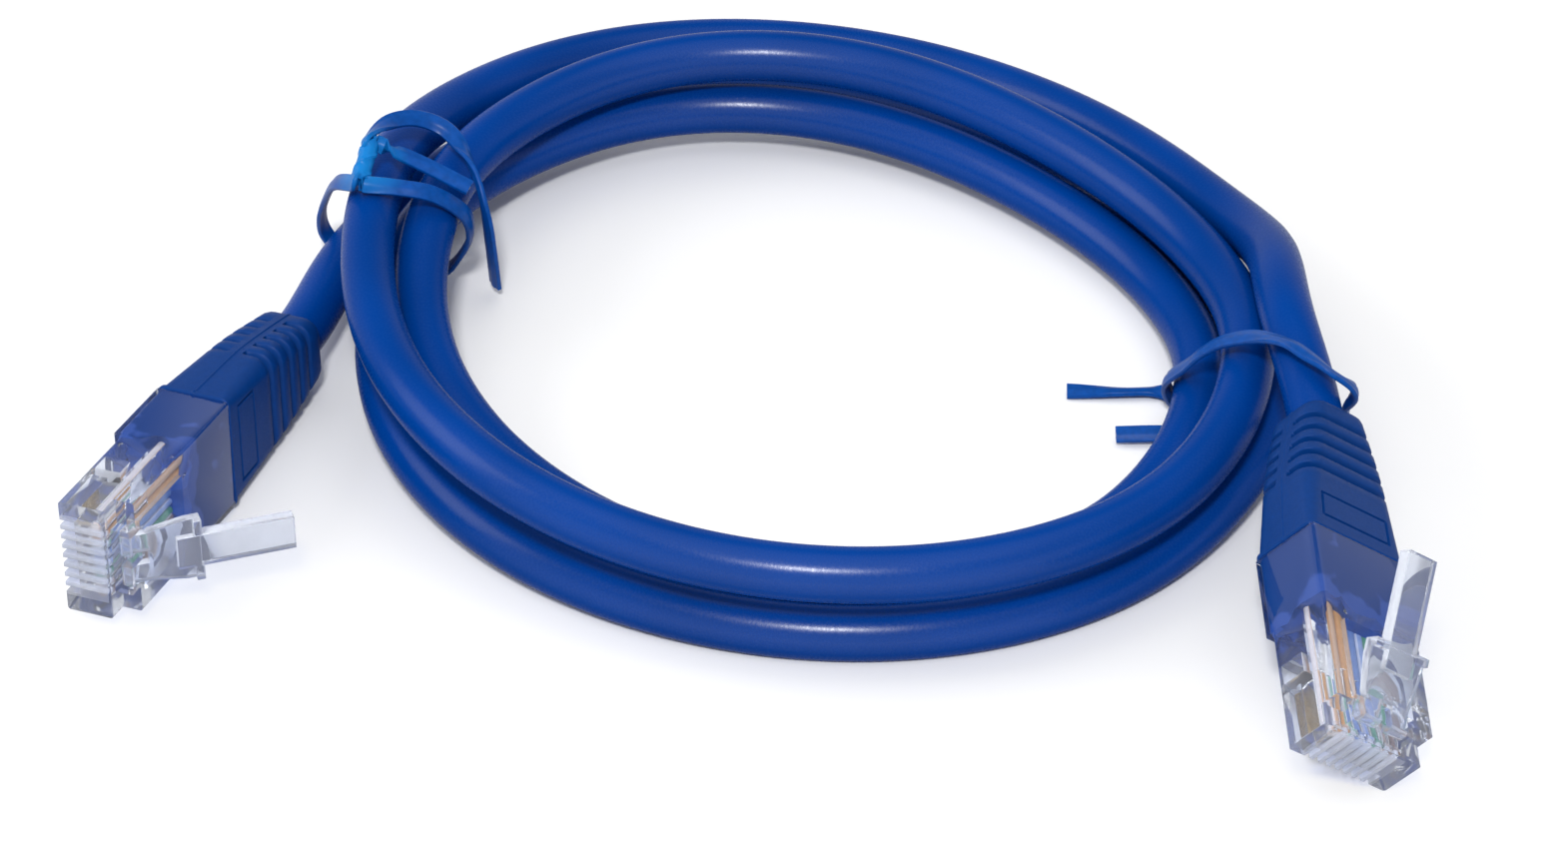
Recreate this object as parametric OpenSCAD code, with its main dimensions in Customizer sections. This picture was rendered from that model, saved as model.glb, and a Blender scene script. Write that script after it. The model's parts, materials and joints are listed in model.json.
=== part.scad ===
// Ethernet patch cable: two eight-contact modular plugs with moulded boots, joined by a
// round jacketed cable that is wound up and held by two twist ties.
// Each plug is drawn in its own frame: x across towards contact 8, y from the nose back
// to the cable, z from the contact face to the latch face; then it is laid in its place.

/* [Cable] */
// Outside diameter of the cable jacket
cable_d = 5.2; // [4.8:0.1:5.6]
// Distance between the centres of neighbouring loops
loop_pitch = 5.75; // [5.7:0.01:6.2]
// Long radius of the wound coil
coil_long_r = 41.9; // [40:0.1:60]
// Short radius of the wound coil
coil_short_r = 35.2; // [34:0.1:55]

/* [Plug] */
// Width of the plug across the contacts
plug_w = 11.68; // [11.5:0.01:11.8]
// Thickness of the plug at the nose
plug_t = 6.6; // [6.4:0.05:6.8]
// Length of the plug from the nose to the boot
plug_len = 20.7; // [20:0.1:22]
// How much thicker the cable end of the plug is on the contact side
rear_step = 0.9; // [0.5:0.05:1.1]
// Where that thicker cable end begins, from the nose
rear_from = 12.4; // [11.8:0.1:13]
// Thickness of the contact block at the nose
block_t = 4.7; // [4.5:0.05:4.9]
// Wall between the plug's outside and the moulding in it
shell_wall = 0.8; // [0.6:0.05:1]
// Rounding of the plug's long edges
plug_edge_r = 0.3; // [0.15:0.05:0.4]

/* [Contacts and wires] */
// Distance between neighbouring contacts
contact_pitch = 1.02; // [1:0.01:1.04]
// Thickness of a contact blade
blade_t = 0.34; // [0.28:0.02:0.4]
// Length of a contact blade from nose end to cable end
blade_len = 4.9; // [4.4:0.1:5.2]
// Distance of the blade's front end from the nose
blade_from = 1.2; // [1:0.05:1.4]
// Depth of the blade's contact edge below the contact face
blade_sink = 0.5; // [0.35:0.05:0.7]
// Diameter of a wire's insulation
wire_d = 0.92; // [0.85:0.01:0.94]
// Depth of the wires' centres below the contact face
wire_depth = 3.35; // [3.2:0.05:3.5]
// Distance of the wires' ends from the nose
wire_from = 1.0; // [0.8:0.05:1.2]

/* [Latch] */
// Length of the latch from its hinge to the end of its tab
latch_len = 15.4; // [14:0.1:16]
// Width of the latch across its two shoulders
latch_w = 6.3; // [6:0.05:6.6]
// Width of the tab behind the shoulders
tab_w = 3.25; // [3:0.05:3.4]
// Thickness of the tab
tab_t = 1.1; // [0.9:0.05:1.2]
// Distance of the shoulders' rear faces from the hinge
shoulder_at = 6.8; // [6.4:0.1:7.2]
// Angle of the latch above the latch face on plug A
latch_open_a = 49; // [20:1:50]
// Angle of the latch above the latch face on plug B
latch_open_b = 27; // [20:1:50]

/* [Boot] */
// Length of the boot
boot_len = 20.3; // [19:0.1:22]
// Width of the boot at its plug end
boot_w = 12.1; // [12:0.05:12.6]
// Width of the boot at its cable end
boot_rear_w = 7.3; // [7:0.1:8.5]
// Thickness of the boot at its plug end
boot_t = 7.6; // [7.55:0.05:8]
// Thickness of the boot at its cable end
boot_rear_t = 6.8; // [6.6:0.05:7.2]
// Distance between neighbouring grip grooves
groove_pitch = 2.05; // [1.9:0.05:2.2]
// Depth of the grip grooves
groove_depth = 0.45; // [0.2:0.05:0.6]
// Number of grip grooves
groove_count = 5; // [3:1:5]

/* [Twist ties] */
// Width of the flat tie
tie_w = 1.7; // [1.4:0.1:2]
// Thickness of the flat tie
tie_t = 0.7; // [0.6:0.05:0.8]
// Diameter of the steel wire inside the tie
tie_core_d = 0.45; // [0.35:0.05:0.5]

/* [Hidden] */
$fn = 32;

ENDS = ["a", "b"];
CONTACTS = [1:8];
TIES = ["left", "right"];

// Colours
POLYCARBONATE = [0.85, 0.89, 0.94, 0.45];
BLUE_PVC = [0.06, 0.26, 0.58];
TIE_PVC = [0.05, 0.33, 0.72];
GOLD = [0.85, 0.68, 0.36];
STEEL = [0.7, 0.7, 0.72];
WIRE_COLOURS = [
    [0.94, 0.80, 0.66], [0.90, 0.50, 0.16], [0.72, 0.86, 0.74], [0.20, 0.40, 0.72],
    [0.72, 0.80, 0.92], [0.18, 0.55, 0.30], [0.82, 0.76, 0.70], [0.45, 0.30, 0.20]
];

// Clearances
mould_gap = 0.05;    // between the housing and the moulding in it
slot_gap = 0.03;     // each side of a blade in its slot
bore_gap = 0.02;     // round a wire in its bore
hinge_gap = 0.05;    // round the latch's hinge bead
eps = 0.01;

// The coil's inner rim: an oval with a three-sided swell. The ties, and each plug with the
// tie beside it, keep their places by the rim when the coil's size changes.
coil_centre = [1.7, 10.4, 0];
coil_tilt = -66;                     // direction of the long radius
coil_wave = -1.0;                    // the swell and its direction
coil_wave_at = 117;
tie_at = [160, -19];                 // directions of the left and the right tie
function rim_r(th) = let (al = th - coil_tilt)
    1 / sqrt(pow(cos(al) / coil_long_r, 2) + pow(sin(al) / coil_short_r, 2)) + coil_wave * cos(3 * th - coil_wave_at);
function rim(th) = coil_centre + rim_r(th) * [cos(th), sin(th), 0];
left_at = rim(tie_at[0]);
right_at = rim(tie_at[1]);

// The two plugs' places: nose centre on the contact face, then turn, pitch and roll
plug_a_at = left_at + [-32.53, -54.16, 7.45];
plug_b_at = right_at + [9.84, -54.54, 3.5];
function plug_pos(e) = (e == "a" ? plug_a_at : plug_b_at) + ORIGIN;
function plug_turn(e) = e == "a" ? [-22, -3.5, 88] : [3.3, 15.6, 38.2];
// Moves everything so that the plugs' and ties' box is centred over the origin
ORIGIN = [6.7, 25.4, 0] - (left_at + right_at) / 2;

module at_plug(e) {
    turn = plug_turn(e);
    translate(plug_pos(e)) rotate([0, 0, turn[0]]) rotate([turn[1], 0, 0]) rotate([0, turn[2], 0])
        children();
}

// A rounded bar along y: width w in x, between heights z0 and z1, from y0 to y1
module bar_y(w, z0, z1, y0, y1, r) {
    translate([0, y1, 0]) rotate([90, 0, 0]) linear_extrude(y1 - y0) {
        translate([-w / 2 + r, z0]) square([w - 2 * r, z1 - z0]);
        translate([-w / 2, z0 + r]) square([w, z1 - z0 - 2 * r]);
        for (sx = [-1, 1]) {
            translate([sx * (w / 2 - r), z0 + r]) circle(r);
            translate([sx * (w / 2 - r), z1 - r]) circle(r);
        }
    }
}

// A plain block centred on x
module block_y(w, z0, z1, y0, y1) {
    translate([-w / 2, y0, z0]) cube([w, y1 - y0, z1 - z0]);
}

// ---- Plug ----
slot_w = blade_t + 2 * slot_gap;
mouth_w = 0.62;                       // width of a slot where the mating spring enters
mouth_depth = 1.5;
wire_bore_d = wire_d + 2 * bore_gap;
row_w = 7 * contact_pitch + wire_bore_d;
comb_to = 6.6;                        // rear end of the wires' separate bores
filler_from = 12.9;                   // front of the moulding inside the plug
filler_step = 0.9;                    // its outer thirds stand further back
latch_side_from = 2.1;                // front of the latch-side walls
root_from = 0.8;                      // front of the block that carries the latch
root_to = 2.9;
root_w = 6.7;
well_w = 7;                           // trough under the latch
well_z = 5.4;
well_to = 11.1;                       // clears the tab of a pressed latch
pinch_from = 7.1;                     // recess above the wires
pinch_to = 9.1;
pinch_w = 9.4;
pinch_z = 2.5;
clamp_from = 13.6;                    // window of the strain relief bar
clamp_to = 17.2;
clamp_w = 7.2;
clamp_z = 0.3;                        // depth of that window's inner end
filler_z0 = clamp_z;
filler_z1 = plug_t - shell_wall;
filler_w = plug_w - 2 * shell_wall;
filler_r = 0.5;

function contact_x(i) = (i - 4.5) * contact_pitch;

module filler_space(gap) {
    bar_y(filler_w + 2 * gap, filler_z0 - gap, filler_z1 + gap, filler_from + filler_step - gap,
        plug_len + eps, filler_r);
    bar_y(filler_w / 2 + 2 * gap, filler_z0 - gap, filler_z1 + gap, filler_from - gap,
        filler_from + 2 * filler_step, filler_r);
}

module housing(e) {
    color(POLYCARBONATE) at_plug(e) difference() {
        union() {
            bar_y(plug_w, 0, block_t, 0, latch_side_from + eps, plug_edge_r);
            bar_y(plug_w, 0, plug_t, latch_side_from, plug_len, plug_edge_r);
            bar_y(plug_w, -rear_step, plug_t, rear_from, plug_len, plug_edge_r);
            bar_y(root_w, block_t - 1, plug_t, root_from, latch_side_from + eps, plug_edge_r);
        }
        for (i = CONTACTS) translate([contact_x(i), 0, 0]) {
            block_y(mouth_w, -eps, mouth_depth, -eps, comb_to);
            block_y(slot_w, -eps, wire_depth, blade_from - slot_gap, blade_from + blade_len + slot_gap);
            translate([0, wire_from, wire_depth]) rotate([-90, 0, 0])
                cylinder(h = comb_to - wire_from + eps, d = wire_bore_d);
        }
        block_y(row_w, wire_depth - wire_bore_d / 2, wire_depth + wire_bore_d / 2, comb_to, wire_to);
        block_y(pinch_w, -eps, pinch_z, pinch_from, pinch_to);
        block_y(well_w, well_z, plug_t + eps, root_to, well_to);
        filler_space(mould_gap);
        block_y(clamp_w, -rear_step - eps, clamp_z + eps, clamp_from, clamp_to);
        hinge_socket();
    }
}

// ---- Latch: u runs from the hinge to the tab's end, w away from the plug ----
hinge_y = 1.75;
hinge_z = 5.75;
bead_r = 0.5;
strap_w = 1.9;
strap_x = 1.6;
strap_drop = 0.35;                   // the straps' underside below the hinge
strap_lap = 0.3;                     // how far they run into the plate
plate_from = 1.9;
plate_front_w = 5.2;
plate_t = 0.9;
shoulder_len = 1.5;
shoulder_t = 1.5;
rib_from = 4.4;
function latch_open(e) = e == "a" ? latch_open_a : latch_open_b;

module hinge_socket() {
    for (sx = [-1, 1]) translate([sx * strap_x, hinge_y, hinge_z]) {
        rotate([0, 90, 0]) cylinder(h = strap_w + 2 * hinge_gap, r = bead_r + hinge_gap, center = true);
        block_y(strap_w + 2 * hinge_gap, 0, plug_t - hinge_z + eps, -bead_r - hinge_gap, eps);
        block_y(strap_w + 2 * hinge_gap, -strap_drop - hinge_gap, plug_t - hinge_z + eps, 0, root_to);
    }
}

module latch(e) {
    color(POLYCARBONATE) at_plug(e) translate([0, hinge_y, hinge_z]) rotate([latch_open(e), 0, 0]) {
        for (sx = [-1, 1]) translate([sx * strap_x, 0, 0]) {
            rotate([0, 90, 0]) cylinder(h = strap_w, r = bead_r, center = true);
            block_y(strap_w, -strap_drop, bead_r, 0, plate_from + strap_lap);
        }
        translate([0, 0, -plate_t / 2]) linear_extrude(plate_t) polygon([
            [-plate_front_w / 2, plate_from], [plate_front_w / 2, plate_from],
            [latch_w / 2, shoulder_at - shoulder_len], [latch_w / 2, shoulder_at],
            [-latch_w / 2, shoulder_at], [-latch_w / 2, shoulder_at - shoulder_len]
        ]);
        block_y(latch_w, -plate_t / 2, shoulder_t - plate_t / 2, shoulder_at - shoulder_len / 2, shoulder_at);
        block_y(tab_w, -plate_t / 2 + 0.2, tab_t, rib_from, latch_len);
    }
}

// ---- Strain relief bar, contacts, wires and inner moulding ----
module clamp_bar(e) {
    color(POLYCARBONATE) at_plug(e) rotate([90, 0, 90])
        linear_extrude(clamp_w - 2 * mould_gap, center = true) polygon([
            [clamp_from + mould_gap, -0.1], [clamp_to - 0.9, -rear_step + 0.2],
            [clamp_to - mould_gap, -rear_step + 0.2], [clamp_to - mould_gap, clamp_z - mould_gap],
            [clamp_from + mould_gap, clamp_z - mould_gap]
        ]);
}

tine_from = 0.7;
tine_len = 0.8;
tine_step = 2.4;
tine_reach = wire_depth + 0.35;
blade_foot = wire_depth - wire_d / 2 - 0.1;
blade_nose_r = 0.5;

module blade_shape() {
    rotate([90, 0, 90]) linear_extrude(blade_t, center = true) {
        translate([blade_from + blade_nose_r, blade_sink])
            square([blade_len - blade_nose_r, blade_foot - blade_sink]);
        translate([blade_from, blade_sink + blade_nose_r])
            square([blade_nose_r, blade_foot - blade_sink - blade_nose_r]);
        translate([blade_from + blade_nose_r, blade_sink + blade_nose_r]) circle(blade_nose_r);
        for (k = [0, 1]) translate([blade_from + tine_from + k * tine_step, blade_foot - eps]) polygon([
            [0, 0], [tine_len, 0], [tine_len / 2, tine_reach - blade_foot]
        ]);
    }
}

module contact(e, i) {
    color(GOLD) at_plug(e) translate([contact_x(i), 0, 0]) blade_shape();
}

wire_to = filler_from + 1.6;

module wire(e, i) {
    color(WIRE_COLOURS[i - 1]) at_plug(e) translate([contact_x(i), 0, 0]) difference() {
        translate([0, wire_from, wire_depth]) rotate([-90, 0, 0]) cylinder(h = wire_to - wire_from, d = wire_d);
        blade_shape();
    }
}

module filler(e) {
    color(BLUE_PVC) at_plug(e) difference() {
        filler_space(0);
        for (i = CONTACTS) translate([contact_x(i), 0, wire_depth]) rotate([-90, 0, 0])
            cylinder(h = wire_to, d = wire_d);
        translate([-plug_w, plug_len, -plug_t]) cube([2 * plug_w, 1, 3 * plug_t]);
    }
}

// ---- Boot: one loft of rounded rectangles, with its grooves and panels pressed in ----
boot_mid_z = (plug_t - rear_step) / 2;
boot_collar = 0.9;                   // length of the raised collar at the plug end
collar_h = 0.15;
panel_from = 2.2;
panel_len = 3.2;
panel_w = 8.4;
panel_depth = 0.2;
groove_from = 9.3;                   // first groove's centre from the boot's front
groove_w = 0.9;
groove_edge = 0.15;
spine_w = 1.5;                       // smooth strip along each narrow side
corner_steps = 4;
// How far a boot's rear end hangs out of line with its plug
function boot_lean(e) = e == "a" ? [0, 0, 0] : [4, -0.8, -2.5];

// Half width, half thickness and corner radius at distance y behind the boot's front
shoulder_y = 9;
function boot_half_w(y) = y < shoulder_y ? boot_w / 2 - 0.4 * y / shoulder_y
    : boot_w / 2 - 0.4 - (boot_w / 2 - 0.4 - boot_rear_w / 2)
        * pow((y - shoulder_y) / (boot_len - shoulder_y), 1.15);
function boot_half_t(y) = boot_t / 2 - (boot_t - boot_rear_t) / 2 * y / boot_len;
function boot_corner(y) = 0.9 + 0.9 * min(1, y / shoulder_y);

// Rings: [distance, press of the grooves, press of the panels, shrink]
edge = 0.1;                          // length of the collar's bevel
boot_rings = concat(
    [[0, 0, 0, 0.25], [0.25, 0, 0, 0], [boot_collar, 0, 0, 0], [boot_collar + edge, 0, 0, collar_h],
     [panel_from - edge, 0, 0, collar_h], [panel_from + edge, 0, 1, collar_h],
     [panel_from + panel_len - edge, 0, 1, collar_h], [panel_from + panel_len + edge, 0, 0, collar_h]],
    [for (k = [0:groove_count - 1]) let (c = groove_from + k * groove_pitch, h = groove_w / 2)
        each [[c - h, 0, 0, collar_h], [c - h + groove_edge, 1, 0, collar_h],
              [c + h - groove_edge, 1, 0, collar_h], [c + h, 0, 0, collar_h]]],
    [[boot_len - 0.7, 0, 0, collar_h], [boot_len - 0.2, 0, 0, collar_h + 0.2], [boot_len, 0, 0, collar_h + 0.5]]
);

// One quarter of the section, from the middle of the narrow side to the middle of the wide
// side; each point is [x, z, share of groove, share of panel] for half sizes a and b
function quarter(a, b, r) = concat(
    [[a, spine_w / 2, 0, 0], [a, spine_w / 2 + groove_edge, 1, 0]],
    [for (s = [0:corner_steps]) let (t = 90 * s / corner_steps) [a - r + r * cos(t), b - r + r * sin(t), 1, 0]],
    [[min(panel_w / 2 + edge, a - r - edge / 2), b, 1, 0], [min(panel_w / 2 - edge, a - r - 2.5 * edge), b, 1, 1]]
);
function pressed(p, a, b, ring) =
    let (d = groove_depth * p[2] * ring[1] + ring[3], q = panel_depth * p[3] * ring[2])
    [p[0] * (a - d) / a, (p[1] * (b - d) / b) * (b - q) / b];
function boot_section(ring) =
    let (a = boot_half_w(ring[0]), b = boot_half_t(ring[0]), r = boot_corner(ring[0]),
         q = quarter(a, b, r), n = len(q), f = [for (p = q) pressed(p, a, b, ring)])
    concat(f, [for (i = [n - 1:-1:0]) [-f[i][0], f[i][1]]],
        [for (p = f) [-p[0], -p[1]]], [for (i = [n - 1:-1:0]) [f[i][0], -f[i][1]]]);

// Solid through rings that all have the same number of points, closed by a fan at each end
function mean(points) = [for (p = points) 1] * points / len(points);
function side_faces(rings, n, first = 0) = [for (k = [0:rings - 2]) for (i = [0:n - 1])
    let (a = first + k * n + i, b = first + k * n + (i + 1) % n) each [[a, a + n, b + n], [a, b + n, b]]];
module loft(sections) {
    rings = len(sections);
    n = len(sections[0]);
    last = (rings - 1) * n;
    points = concat([for (s = sections) each s], [mean(sections[0]), mean(sections[rings - 1])]);
    ends = [for (i = [0:n - 1]) let (j = (i + 1) % n)
        each [[rings * n, i, j], [rings * n + 1, last + j, last + i]]];
    polyhedron(points, concat(side_faces(rings, n), ends));
}

module boot(e) {
    color(BLUE_PVC) at_plug(e) loft([for (ring = boot_rings) let (at = boot_lean(e) * ring[0] / boot_len)
        [for (p = boot_section(ring)) at + [-p[0], plug_len + ring[0], boot_mid_z + p[1]]]]);
}

// ---- Cable ----
// The cable lies 0.1 of its diameter into the surface and is cut flat there
lay_z = 0.4 * cable_d;
// Lane (in pitches out from the innermost) and layer (in pitches up) at each quarter turn,
// from the left end clockwise: left, back, right, front
lanes = [1.95, 0.45, 1.25, 1.15, 0.95, -0.6, 0.3, 0, 0.3, -0.5, 0.9, 1.45, 1.15, 1.7, 1.6];
layers = [0, 0, 0, 0, 0.4, 0.45, 0.15, 0.05, 1.2, 1.55, 1.05, 1.4, 1.75, 0.4, 1.1];
turn_from = 0.06;
turn_to = 3.42;
rings_per_loop = 24;
coil_sides = 6;
// Where the ties pass under the loops, the loops ride up over them
tie_lift = tie_t + 0.95;
tie_reach = 30;
// Half a turn in, the lowest loop swings out round the next one
swing = 0.35;
swing_reach = 0.12;

function spline(v, x) =
    let (n = len(v) - 1, i = min(floor(x), n - 1), u = x - i,
         a = v[max(i - 1, 0)], b = v[i], c = v[i + 1], d = v[min(i + 2, n)])
    0.5 * (2 * b + (c - a) * u + (2 * a - 5 * b + 4 * c - d) * u * u + (3 * b - a - 3 * c + d) * u * u * u);
function fold(a) = a - 360 * floor((a + 180) / 360);
function swell(x, reach) = abs(x) < reach ? pow(cos(90 * x / reach), 2) : 0;
function coil_point(t) =
    let (th = 180 - 360 * t,
         r = rim_r(th) + loop_pitch * (spline(lanes, 4 * t) + swing * swell(t - 0.5, swing_reach)),
         z = lay_z + loop_pitch * max(0, spline(layers, 4 * t))
             + tie_lift * (swell(fold(th - tie_at[0]), tie_reach) + swell(fold(th - tie_at[1]), tie_reach)))
    [coil_centre[0] + r * cos(th), coil_centre[1] + r * sin(th), z];

ring_first = ceil(turn_from * rings_per_loop);
ring_last = floor(turn_to * rings_per_loop);
coil_turns = concat([turn_from], [for (k = [ring_first:ring_last]) k / rings_per_loop], [turn_to]);
coil_loop = [for (t = coil_turns) coil_point(t)];
function unit(v) = v / norm(v);
coil_start_dir = unit(coil_point(turn_from + 0.001) - coil_point(turn_from));
coil_end_dir = unit(coil_point(turn_to) - coil_point(turn_to - 0.001));
coil_start = coil_loop[0] - cable_d * coil_start_dir;
coil_end = coil_loop[len(coil_loop) - 1] + cable_d * coil_end_dir;
coil_path = concat([coil_start], coil_loop, [coil_end]);

// Least gap between points of the coil more than half a turn apart
coil_gap = min([for (i = [0:len(coil_turns) - 1]) for (j = [i + 1:1:len(coil_turns) - 1])
    if (coil_turns[j] - coil_turns[i] > 0.5) norm(coil_loop[i] - coil_loop[j])]) - cable_d;
echo(least_gap_between_loops = coil_gap);

function boot_rear(e) = to_world(e, boot_lean(e) + [0, plug_len + boot_len, boot_mid_z]) - ORIGIN;
function boot_dir(e) = unit(to_world(e, [0, 1, 0]) - to_world(e, [0, 0, 0]));
function turned(v, c, s, i, j) = [for (k = [0:2]) k == i ? c * v[i] - s * v[j] : k == j ? s * v[i] + c * v[j] : v[k]];
function to_world(e, v) =
    let (g = plug_turn(e), a = turned(v, cos(g[2]), sin(g[2]), 2, 0), b = turned(a, cos(g[1]), sin(g[1]), 1, 2))
    turned(b, cos(g[0]), sin(g[0]), 0, 1) + plug_pos(e);

// Free stretches between the boots and the coil
function from_rim(at, places) = [for (p = places) at + p];
lead_a_path = [boot_rear("a"), boot_rear("a") + cable_d * boot_dir("a"),
    coil_start - cable_d * coil_start_dir, coil_start];
lead_b_path = concat([coil_end, coil_end + cable_d * coil_end_dir],
    from_rim(right_at, [[7.54, 21.66, 8.9], [8.94, 16.66, 10.7], [9.24, 11.06, 12.8], [8.74, 4.36, 14.2],
        [8.94, -1.04, 14.6], [9.34, -5.04, 14.5]]),
    [boot_rear("b") + cable_d * boot_dir("b"), boot_rear("b")]);
lead_sides = 12;

function lengths(path, i = 1, s = 0) = i == len(path) ? s : lengths(path, i + 1, s + norm(path[i] - path[i - 1]));
echo(cable_between_boots = lengths(lead_a_path) + lengths(coil_path) + lengths(lead_b_path));

// Tube of the given number of sides through the points of a path
function tangent(path, i) = unit(path[min(i + 1, len(path) - 1)] - path[max(i - 1, 0)]);
function ring_at(p, dir, d, sides) =
    let (flat = unit(cross([0, 0, 1], dir)), up = cross(dir, flat))
    [for (k = [0:sides - 1]) let (a = 360 * (k + 0.5) / sides) p + d / 2 * (cos(a) * flat + sin(a) * up)];
module tube(path, d, sides) {
    loft([for (i = [0:len(path) - 1]) ring_at(path[i], tangent(path, i), d, sides)]);
}

cut_reach = 4 * coil_long_r;         // beyond the whole part on each side
module cut_flat() {
    difference() {
        children();
        translate([-cut_reach, -cut_reach, -cable_d]) cube([2 * cut_reach, 2 * cut_reach, cable_d]);
    }
}

module cable_lead_a() { color(BLUE_PVC) cut_flat() translate(ORIGIN) tube(lead_a_path, cable_d, lead_sides); }
module cable_coil() { color(BLUE_PVC) cut_flat() translate(ORIGIN) tube(coil_path, cable_d, coil_sides); }
module cable_lead_b() { color(BLUE_PVC) cut_flat() translate(ORIGIN) tube(lead_b_path, cable_d, lead_sides); }

// ---- Twist ties: a flat sheath round a steel wire, each one strand ----
// Stations are [place from the rim point beside the tie, direction of the strip's flat face]
tie_lie = 0.2;                       // height of the ties' flat runs above the surface
tie_z = tie_t / 2 + tie_lie;
left_hub = [-5.43, -0.06, 7];
right_hub = [5.54, -2.74, 8];
lead_hub = [9.9, -8.2, 14.2];       // the cable to plug B, where the right tie crosses it
function round_hub(hub, places) = [for (p = places) [p, p - hub]];
function facing(dir, places) = [for (p = places) [p, dir]];

// The left tie's two ends are twisted round each other on this axis
knot_foot = [-8.33, -6.5, 16.5];
knot_head = [-7.23, -2.46, 18.8];
knot_r = tie_t / 2 + 0.15;
knot_turn = 400;
knot_steps = 9;
knot_axis = unit(knot_head - knot_foot);
knot_side = unit(cross(knot_axis, [0, 0, 1]));
knot_up = cross(knot_axis, knot_side);
function knot_station(share, phase) =
    let (a = phase + knot_turn * share, out = cos(a) * knot_side + sin(a) * knot_up)
    [knot_foot + share * (knot_head - knot_foot) + knot_r * out, out];
left_tie = concat(
    facing([0.2, -0.4, 1], [[2.37, -5.06, 15], [-2.33, -3.46, 16.8]]),
    [for (k = [knot_steps:-1:0]) knot_station(k / knot_steps, 0)],
    round_hub(left_hub, [[-4.53, -6.36, 15.9], [-1.13, -6.06, 14.9], [1.67, -4.86, 11.9], [2.07, -3.06, 8.2],
        [0.87, -0.86, 4.3], [-0.93, 0.44, 1.5]]),
    facing([0, 0, -1], [[-3.93, 1.54, tie_z], [-7.43, 2.84, tie_z], [-10.53, 3.94, tie_z]]),
    round_hub(left_hub, [[-12.93, 4.94, 2.8], [-13.23, 3.74, 6], [-12.23, 1.44, 10], [-10.93, -2.26, 13.8]]),
    [for (k = [0:knot_steps]) knot_station(k / knot_steps, 180)],
    facing([0, -0.6, 0.8], [[-5.63, 1.64, 18.4], [-2.93, 3.54, 17.5], [0.07, 2.94, 16.2]]),
    facing([0.8, 0.5, 0.3], [[2.47, -0.66, 14.2], [3.67, -3.26, 11], [4.07, -3.06, 6.5], [4.27, -1.76, 1.3]])
);
right_tie = concat(
    facing([0, 0, 1], [[-10.96, 6.36, tie_z], [-5.95, 6.23, tie_z], [-3.01, 6.29, tie_z]]),
    facing([-0.6, -0.2, 0.7], [[-1.2, 5.76, 0.8]]),
    round_hub(right_hub, [[-1.07, 3.83, 1.55], [-1.72, 2.03, 4.88], [-0.07, -0.35, 8.43], [1.23, -1.53, 10.77],
        [3.01, -3.05, 13.05], [5.65, -5.64, 15.4]]),
    round_hub(lead_hub, [[8.19, -8.95, 17.09], [10.01, -11.19, 17.19], [12.12, -12.97, 16.51],
        [14.41, -12.94, 14.45]]),
    round_hub(right_hub, [[14.15, -10.03, 10.61], [14.5, -6.32, 6.57], [13.73, -3.6, 3]]),
    facing([0.2, 0, -1], [[11.33, -2.03, tie_z]]),
    facing([0, 0, -1], [[6.65, -0.74, tie_z], [2.4, -1.15, tie_z]]),
    facing([0, 0.5, -0.87], [[-2.02, -1.29, 1], [-6.61, -1.43, 1]])
);
function tie_route(k) = k == "left" ? left_tie : right_tie;
function tie_place(k) = (k == "left" ? left_at : right_at) + ORIGIN;

// Rings along a route, with spline points between its stations
tie_steps = 2;
tie_chamfer = 0.18;
function sides_of(w, t, c) = [[w / 2, t / 2 - c], [w / 2 - c, t / 2], [c - w / 2, t / 2], [-w / 2, t / 2 - c]];
function opposite(points) = concat(points, [for (p = points) -p]);
strip_section = opposite(sides_of(tie_w, tie_t, tie_chamfer));
core_section = [for (k = [0:7]) tie_core_d / 2 * [cos(45 * k + 22.5), sin(45 * k + 22.5)]];
function strip_rings(route, section) =
    let (n = (len(route) - 1) * tie_steps, places = [for (s = route) s[0]], faces = [for (s = route) unit(s[1])],
         path = [for (i = [0:n]) spline(places, i / tie_steps)],
         out = [for (i = [0:n]) spline(faces, i / tie_steps)])
    [for (i = [0:n]) let (dir = tangent(path, i), up = unit(out[i] - (out[i] * dir) * dir), flat = cross(up, dir))
        [for (p = section) path[i] + p[0] * flat + p[1] * up]];

module tie(k) {
    outer = strip_rings(tie_route(k), strip_section);
    inner = strip_rings(tie_route(k), core_section);
    rings = len(outer);
    n = len(strip_section);
    size = rings * n;
    ends = [for (i = [0:n - 1]) let (j = (i + 1) % n, a = size - n) each [
        [i, j, size + j], [i, size + j, size + i],
        [a + j, a + i, size + a + i], [a + j, size + a + i, size + a + j]
    ]];
    inside = [for (f = side_faces(rings, n, size)) [f[0], f[2], f[1]]];
    color(TIE_PVC) translate(tie_place(k))
        polyhedron([for (s = concat(outer, inner)) each s], concat(side_faces(rings, n), inside, ends));
}
module tie_core(k) {
    color(STEEL) translate(tie_place(k)) loft(strip_rings(tie_route(k), core_section));
}

for (e = ENDS) {
    housing(e);
    latch(e);
    clamp_bar(e);
    filler(e);
    boot(e);
    for (i = CONTACTS) {
        contact(e, i);
        wire(e, i);
    }
}
cable_lead_a();
cable_coil();
cable_lead_b();
for (k = TIES) {
    tie(k);
    tie_core(k);
}
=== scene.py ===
"""Dresses the frame of an ethernet patch cable: the wound blue cable, its two clear modular plugs with
moulded boots, and the two twist ties that hold the coil. Laid out as an add-on and run as a script."""

import json
import math

import bpy
from mathutils import Matrix, Vector


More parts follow.
